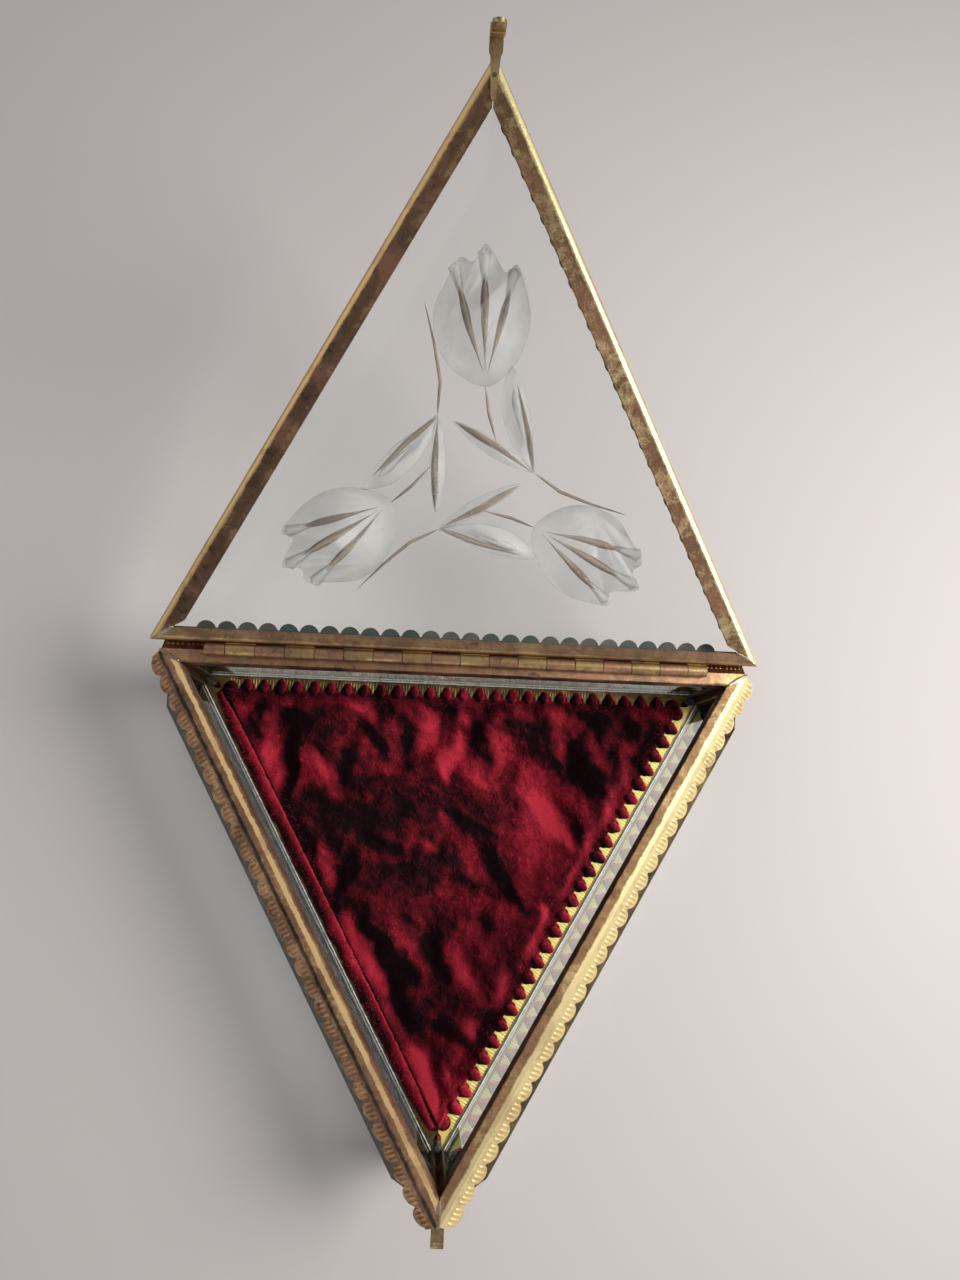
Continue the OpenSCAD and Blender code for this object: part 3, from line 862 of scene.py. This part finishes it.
# Outlines and cuts of one tulip and its leaves, in mm from the middle of the lid. A cut is its
# path, its width, and the share of its length at which it is widest.
TULIP = [
    (1.5, -13.6), (5.2, -16.0), (7.6, -20.5), (8.0, -25.0), (6.4, -30.4), (5.2, -32.0), (3.6, -30.8),
    (1.6, -33.6), (0.2, -34.6), (-1.4, -32.0), (-3.6, -32.4), (-5.6, -28.6), (-7.2, -24.6),
    (-6.4, -19.4), (-3.4, -15.6),
]
LEAF_WIDE = [
    (-5.8, -8.8), (-8.6, -6.6), (-13.2, -3.0), (-17.6, 3.4), (-13.0, 2.6), (-9.4, -0.4), (-7.0, -4.2),
]
LEAF_THIN = [(-5.8, -8.8), (-6.6, -4.0), (-6.6, 1.4), (-5.4, 6.8), (-4.2, 2.4), (-4.2, -3.4)]
GROOVES = [
    ([(1.2, -15.6), (-1.4, -22.0), (-3.4, -28.4)], 1.2, 0.7),
    ([(1.4, -16.4), (0.9, -23.0), (0.5, -30.6)], 1.3, 0.7),
    ([(1.8, -15.6), (3.2, -22.0), (4.6, -28.4)], 1.2, 0.7),
    ([(-6.0, -8.4), (-10.4, -4.4), (-15.8, 1.4)], 0.9, 0.4),
    ([(-5.7, -8.4), (-5.9, -1.0), (-5.4, 6.4)], 1.2, 0.6),
]
STEMS = [
    ([(1.6, -13.8), (2.4, -9.6), (3.9, -5.2)], 0.45, 0.5),
    ([(-5.8, -8.8), (-5.6, -14.0), (-6.8, -19.6), (-8.6, -25.6)], 0.5, 0.4),
]
WEDGES = [
    ([(-2.4, -25.0), (-4.4, -31.8)], 2.2, 0.9),
    ([(0.7, -26.6), (0.2, -34.2)], 2.2, 0.9),
    ([(3.8, -25.0), (5.2, -31.6)], 2.0, 0.9),
    ([(-9.0, -4.4), (-15.0, 1.6)], 1.6, 0.75),
]


def engrave():
    """Three tulips with their leaves, each a third of a turn from the next."""
    areas, area_faces = [], []
    cuts, cut_faces = [], []
    greys, grey_faces = [], []
    for turn in (0, 120, 240):
        for outline in (TULIP, LEAF_WIDE, LEAF_THIN):
            petal(areas, area_faces, outline, turn)
        for path, width, peak in GROOVES + STEMS:
            groove(cuts, cut_faces, path, turn, width, peak, 0.01, 0.16)
        for path, width, peak in WEDGES:
            groove(greys, grey_faces, path, turn, width, peak, 0.025, 0.13, wedge=True)
    new_piece("engraving_petals", areas, area_faces, frost, "lid")
    new_piece("engraving_grooves", cuts, cut_faces, groove_brown, "lid")
    new_piece("engraving_wedges", greys, grey_faces, wedge_grey, "lid")


engrave()


# ---------------------------------------------------------------- velvet cushion
# Paler patches of the velvet's tone: place in mm, reach, amount
PALER_PATCHES = [
    ((17.0, 1.5, 10), 11.5, 0.24),
    ((-26.5, 10.0, 10), 5.5, 0.13),
    ((4.5, -20.0, 10), 6.0, 0.08),
    ((-1.0, -43.0, 10), 12.0, 0.15),
]
# The side that the light comes from: velvet slopes that face it get painted light, those that face away
# painted shade
PAINTED_LIGHT_SIDE = (0.80, 0.42, 0.0)
# Velvet tones from near-black to pale crimson, picked by random mottle and by the painted light and shade of
# the slopes, and the colour of the painted glints
VELVET_DARK = (0.004, 0.0004, 0.0012)
VELVET_RED = (0.17, 0.005, 0.014)
VELVET_PALE = (0.44, 0.022, 0.042)
VELVET_GLINT = (0.62, 0.04, 0.08)


def velvet_material(name, glow):
    """Crushed velvet, mottled at random, with painted light and shade: near-black on the slopes that
    face away from the light, crimson highlights on those that face it, and painted glints of the pile.
    """
    m = Nodes(name)
    broad = m.noise(55.0, 2.0, 0.5)
    crush = m.noise(140.0, 1.5, 0.5, 0.15)
    folds = m.noise(380.0, 3.0, 0.55, 0.2)
    pile = m.noise(5200.0, 2.0, 0.5, 0.0, m.mapped(scale=(1.0, 0.3, 1.0)))
    fleck = m.noise(1500.0, 4.0, 0.7)
    nap = m.bump(m.weigh((crush, 1.0), (folds, 0.35)), 1.0, 0.0025)
    # Painted light and shade: how far each slope faces the light's side, from the smooth normal and the
    # bumped one
    slope = m.weigh((m.dot(PAINTED_LIGHT_SIDE, m.normal), 0.27), (m.dot(PAINTED_LIGHT_SIDE, nap), 0.11))
    mottle = m.weigh((broad, 0.44), (crush, 0.22), (folds, 0.18), (fleck, 0.09))
    patch_tone = m.weigh(*((m.near(place, reach), amount) for place, reach, amount in PALER_PATCHES))
    tone = m.math("ADD", m.math("ADD", mottle, slope), m.math("ADD", patch_tone, glow - 0.50))
    soft = m.ramp(tone, -0.12, 0.15)
    peak = m.math("POWER", m.ramp(tone, 0.04, 0.30), 1.3)
    color = m.mix(peak, m.mix(soft, VELVET_DARK, VELVET_RED), VELVET_PALE)
    glint = m.math("MULTIPLY", m.ramp(pile, 0.45, 0.75), m.ramp(fleck, 0.4, 0.7, 0.05, 0.45))
    glint = m.math("MULTIPLY", glint, m.math("ADD", soft, 0.08, clamped=True))
    color = m.mix(glint, color, VELVET_GLINT)
    m.set(
        base_color=color,
        roughness=0.85,
        specular_ior_level=0.1,
        sheen_weight=0.08,
        sheen_roughness=0.35,
        sheen_tint=(1.0, 0.22, 0.30),
        normal=m.bump(m.weigh((pile, 0.7), (fleck, 1.0)), 0.6, 0.0002, normal=nap),
    )
    return m.mat


def wall_outs(p):
    """Distances outwards and along, for each of the three walls."""
    found = []
    for _, turn in SIDES:
        n = outward(turn)
        found.append((n.x * p.x + n.y * p.y, n.y * p.x - n.x * p.y))
    return found


def nearest_out(p):
    """Distance outwards, towards the nearest wall."""
    return max(out for out, _ in wall_outs(p))


def under_tooth(out, along):
    """1 where the toothed strip covers the cloth, 0 in its arches."""
    if out < TOOTH_Y - 0.1:
        return 0.0
    near = min(abs(along - c) for c in ARCHES)
    return clamp((math.hypot(near, out - TOOTH_Y) - (ARCH_R - 0.35)) / 0.3)


def lattice(edge, step):
    """Points and triangles that fill an equilateral triangle, by its centre-to-side distance,
    and the loop of points round its border."""
    n = int(2 * ROOT3 * edge / step)
    a, b, c = Vector((-ROOT3 * edge, edge, 0)), Vector((ROOT3 * edge, edge, 0)), Vector((0, -2 * edge, 0))
    points, faces, index = [], [], {}
    for i in range(n + 1):
        for j in range(n + 1 - i):
            index[i, j] = len(points)
            points.append(a + (b - a) * (i / n) + (c - a) * (j / n))
    for i in range(n):
        for j in range(n - i):
            faces.append((index[i, j], index[i, j + 1], index[i + 1, j]))
            if i + j < n - 1:
                faces.append((index[i + 1, j], index[i, j + 1], index[i + 1, j + 1]))
    loop = [index[i, 0] for i in range(n)] + [index[n - j, j] for j in range(n)]
    return points, faces, loop + [index[0, n - j] for j in range(n)]


def simulated_cloth():
    """Simulates a slack sheet of velvet pinned along the toothed strips, at SHEET_SCALE times
    its size, and returns its points as (x, y, height) in mm."""
    scale = SHEET_SCALE * MM
    points, faces, _ = lattice(SHEET_EDGE, SHEET_STEP)
    for p in points:
        inner = clamp((SHEET_EDGE - nearest_out(p)) / 4.0)
        q = p * 0.09 + Vector((4.2, 1.3, 0.7))
        p.z = inner * (1.1 * noise.noise(q) + 0.8 * noise.noise(q * 2.3) + 0.25)
    mesh = bpy.data.meshes.new("sheet")
    mesh.from_pydata([tuple(p * scale) for p in points], [], faces)
    sheet = bpy.data.objects.new("sheet", mesh)
    scene.collection.objects.link(sheet)
    pins = sheet.vertex_groups.new(name="pins")
    pins.add([i for i, p in enumerate(points) if nearest_out(p) > TOOTH_Y - 0.1], 1.0, "REPLACE")
    cloth = sheet.modifiers.new("Cloth", "CLOTH").settings
    cloth.quality = 6
    cloth.mass = 0.2
    cloth.tension_stiffness = 12
    cloth.compression_stiffness = 12
    cloth.shear_stiffness = 6
    cloth.bending_stiffness = 9
    cloth.shrink_min = -0.06
    cloth.use_pressure = True
    cloth.uniform_pressure_force = 0.8
    cloth.vertex_group_mass = "pins"
    cloth.effector_weights.gravity = 0
    for step in range(1, SHEET_FRAMES + 1):
        scene.frame_set(step)
    result = sheet.evaluated_get(bpy.context.evaluated_depsgraph_get()).to_mesh()
    found = [v.co / scale for v in result.vertices]
    scene.frame_set(1)
    bpy.data.objects.remove(sheet)
    bpy.data.meshes.remove(mesh)
    return found


def cloth_heights():
    """Height of the simulated cloth at any place, smoothed over its nearest points."""
    cloth = simulated_cloth()
    tree = kdtree.KDTree(len(cloth))
    for i, v in enumerate(cloth):
        tree.insert(Vector((v.x, v.y, 0)), i)
    tree.balance()
    mean = sum(v.z for v in cloth) / len(cloth)

    def height(p):
        total, weight, reach = 0.0, 0.0, 0.9
        for _, i, d in tree.find_n(Vector((p.x, p.y, 0)), 16):
            w = math.exp(-(d / reach) ** 2)
            total += w * (cloth[i].z - mean)
            weight += w
        return total / weight

    return height


def tuft(verts, faces, centre, n, radii):
    """A low dome of cloth, flat underneath, that swells over the edge of an arch. n points
    outwards, and the radii are its half sizes outwards, along and up."""
    along = Vector((n.y, -n.x, 0.0))
    start, ring = len(verts), 14
    rows = ((0.9, 0.0), (1.0, 0.15), (0.92, 0.5), (0.7, 0.8), (0.38, 0.97))
    for r, h in rows:
        for k in range(ring):
            a = 2 * math.pi * k / ring
            flat = n * (radii[0] * r * math.cos(a)) + along * (radii[1] * r * math.sin(a))
            verts.append(centre + flat + UP * (radii[2] * h))
    crown = start + (len(rows) - 1) * ring
    top = len(verts)
    verts.append(centre + UP * radii[2])
    for row in range(start, crown, ring):
        for k in range(ring):
            a, b = row + k, row + (k + 1) % ring
            faces.append((b, a, a + ring, b + ring))
    for k in range(ring):
        faces.append((crown + (k + 1) % ring, crown + k, top))
    faces.append(tuple(range(start, start + ring)))


def pad_height(p, height):
    """Height of the velvet: crumpled as its cloth fell, raised beside the roll on the left, and
    held down by the toothed strips at its border."""
    outs = wall_outs(p)
    out = nearest_out(p)
    if out > TOOTH_Y + 1.25:
        return FOOT_Z
    if out > TOOTH_Y - 0.3:
        cover = max(under_tooth(o, along) for o, along in outs)
        return ARCH_Z * (1 - cover) + COVERED_Z * cover
    inner = smooth((TOOTH_Y - out) / 3.2)
    z = PAD_Z + inner * (0.2 + height(p) + 0.12 * noise.noise(p * 0.7))
    z += 0.5 * smooth((outs[1][0] - TOOTH_Y + 4.0) / 3.0)
    if z > CREST_Z:
        z = CREST_Z + CREST_RISE * math.tanh((z - CREST_Z) / CREST_RISE)
    return z


def velvet():
    """The velvet pad, with bulges through the arches at the back and on the right. Returns its
    points just inside the toothed strips."""
    height = cloth_heights()
    points, faces, loop = lattice(PAD_EDGE, PAD_STEP)
    verts = [Vector((p.x, p.y, pad_height(p, height))) for p in points]
    border = [v for v in verts if -1.8 < nearest_out(v) - TOOTH_Y < -0.2]
    low = range(len(verts), len(verts) + len(loop))
    verts += [Vector((verts[k].x, verts[k].y, PAD_LOW)) for k in loop]
    for k in range(len(loop)):
        after = (k + 1) % len(loop)
        faces.append((loop[k], loop[after], low[after], low[k]))
    faces.append(tuple(low))
    for turn in (BACK, RIGHT):
        for along in spread(ROOT3 * TOOTH_Y - 2.2, TOOTH_PITCH):
            arch = min(ARCHES, key=lambda c: abs(c - along))
            puff = noise.noise(Vector((arch * 0.8, turn, 2.0)))
            centre = on_side(turn, TOOTH_Y + 0.6 + 0.15 * puff, arch + 0.1 * puff, FLOOR_Z + 0.05)
            size = 1.0 + 0.2 * puff
            tuft(verts, faces, centre, outward(turn), (1.3 * size, 0.88 * size, 0.42 * size))
    pad = new_piece("velvet_pad", verts, faces, velvet_material("velvet", 0.0), "casket")
    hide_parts("cushion")
    return border


def velvet_roll():
    """The cloth's rolled edge, which lies over the toothed strip on the left. Returns its path."""
    path, last = [], 420
    middle, half = (ROLL_FROM + ROLL_TO) / 2, (ROLL_TO - ROLL_FROM) / 2 + 0.15
    for i in range(last + 1):
        along = ROLL_FROM + (ROLL_TO - ROLL_FROM) * i / last
        lump = noise.noise(Vector((along * 0.3, 3.0, 1.0)))
        fuzz = noise.noise(Vector((along * 1.1, 7.0, 2.0)))
        taper = clamp(1 - (abs(along - middle) / half) ** 8) ** 0.5
        scale = (0.86 + 0.18 * lump + 0.12 * fuzz) * max(taper, 0.5)
        z = FLOOR_Z + 0.06 + ROLL_RADII[1] * scale
        path.append((on_side(LEFT, ROLL_OUT + 0.15 * lump, along, z), outward(LEFT), UP, scale))
    roll = tube("velvet_roll", path, ROLL_RADII, velvet_material("velvet_edge", 0.03), "casket")
    return path


def velvet_pile(border, path):
    """Loose pile, as fine spikes, that frays the cloth's border and its rolled edge."""
    m = Nodes("velvet_pile")
    m.set(
        base_color=m.mix(m.ramp(m.noise(260.0, 3.0), 0.4, 0.6), (0.12, 0.004, 0.010), (0.46, 0.020, 0.042)),
        roughness=0.8,
        specular_ior_level=0.1,
    )
    on_roll, on_border, radius, sink = 1900, 1700, 0.055, 0.03
    rng = random.Random(11)
    roots = []
    for _ in range(on_roll):
        centre, side, up, scale = rng.choice(path)
        a = math.radians(rng.uniform(25, 155))
        skin_point = centre + side * (1.3 * scale * math.cos(a)) + up * (0.43 * scale * math.sin(a))
        roots.append((skin_point, side * math.cos(a)))
    for _ in range(on_border):
        roots.append((rng.choice(border), Vector((0, 0, 0))))
    verts, faces = [], []
    for root, lean in roots:
        turn = rng.uniform(0, 2 * math.pi)
        tip = lean * 0.5 + Vector((math.cos(turn), math.sin(turn), rng.uniform(0.25, 0.55)))
        start = len(verts)
        for k in range(3):
            a = turn + 2 * math.pi * k / 3
            verts.append(root + Vector((math.cos(a), math.sin(a), 0.0)) * radius - UP * sink)
        verts.append(root + tip.normalized() * rng.uniform(0.3, 0.6))
        for a, b, c in ((0, 1, 3), (1, 2, 3), (2, 0, 3), (2, 1, 0)):
            faces.append((start + a, start + b, start + c))
    new_piece("velvet_pile", verts, faces, m.mat, "casket")


velvet_pile(velvet(), velvet_roll())


# ---------------------------------------------------------------- floor and light
def floor():
    """A plain pale table top, a hair below the box so that they don't share a face."""
    m = Nodes("table_top")
    m.set(
        base_color=m.mix(m.noise(9.0, 3.0), (0.586, 0.547, 0.532), (0.612, 0.572, 0.557)),
        roughness=0.65,
        specular_ior_level=0.3,
        normal=m.bump(m.noise(900.0, 4.0), 0.05, 0.0002),
    )
    mesh = bpy.data.meshes.new("table_top")
    s, z = 2.0, -0.00002
    mesh.from_pydata([(-s, -s, z), (s, -s, z), (s, s, z), (-s, s, z)], [], [(0, 1, 2, 3)])
    mesh.materials.append(m.mat)
    obj = bpy.data.objects.new("table_top", mesh)
    scene.collection.objects.link(obj)


def lamp(name, place, target, size, power, color, spread_deg=180.0):
    """A round soft lamp at a place in metres, aimed at a target."""
    data = bpy.data.lights.new(name, "AREA")
    data.shape = "DISK"
    data.size = size
    data.energy = power
    data.color = color
    data.spread = math.radians(spread_deg)
    obj = bpy.data.objects.new(name, data)
    scene.collection.objects.link(obj)
    obj.location = place
    obj.rotation_euler = (Vector(target) - Vector(place)).to_track_quat("-Z", "Y").to_euler()
    obj.visible_transmission = False


def world():
    """A soft even sky for the light. What is seen, also in metal and through glass, is a pale
    backdrop that darkens overhead."""
    w = bpy.data.worlds.new("world")
    scene.world = w
    w.use_nodes = True
    tree = w.node_tree
    tree.nodes.clear()

    def node(kind, inputs, output=0, **settings):
        """A node with its settings and its inputs set or linked. Gives one of its outputs."""
        n = tree.nodes.new("ShaderNode" + kind)
        for key, v in settings.items():
            setattr(n, key, v)
        for key, v in inputs.items():
            if isinstance(v, bpy.types.NodeSocket):
                tree.links.new(v, n.inputs[key])
            else:
                n.inputs[key].default_value = v
        return n.outputs[output]

    soft = node("Background", {"Color": (0.84, 0.85, 0.88, 1.0), "Strength": 0.36})
    height = node("SeparateXYZ", {0: node("TexCoord", {}, "Generated")}, "Z")
    tall = node("MapRange", {"From Min": 0.25, "From Max": 0.9, "Value": height}, "Result")
    pale, grey = (0.80, 0.79, 0.79, 1.0), (0.26, 0.25, 0.25, 1.0)
    seen = node("Background", {"Color": node("Mix", {0: tall, 6: pale, 7: grey}, 2, data_type="RGBA")})
    path = tree.nodes.new("ShaderNodeLightPath").outputs
    ray = node("Math", {0: path["Is Camera Ray"], 1: path["Is Glossy Ray"]}, operation="MAXIMUM")
    ray = node("Math", {0: ray, 1: path["Is Transmission Ray"]}, operation="MAXIMUM")
    direct = node("Math", {0: path["Diffuse Depth"]}, operation="LESS_THAN")
    shown = node("Math", {0: ray, 1: direct}, operation="MULTIPLY")
    out = tree.nodes.new("ShaderNodeOutputWorld")
    tree.links.new(node("MixShader", {0: shown, 1: soft, 2: seen}), out.inputs["Surface"])


floor()
world()
lamp("key", (0.28, 0.04, 0.26), (0.0, 0.0, 0.01), 0.22, 0.75, (1.0, 0.97, 0.94), 125.0)
lamp("fill", (-0.5, 0.2, 0.6), (0.0, 0.02, 0.0), 0.5, 0.35, (0.92, 0.95, 1.0))

scene.view_settings.view_transform = "Standard"
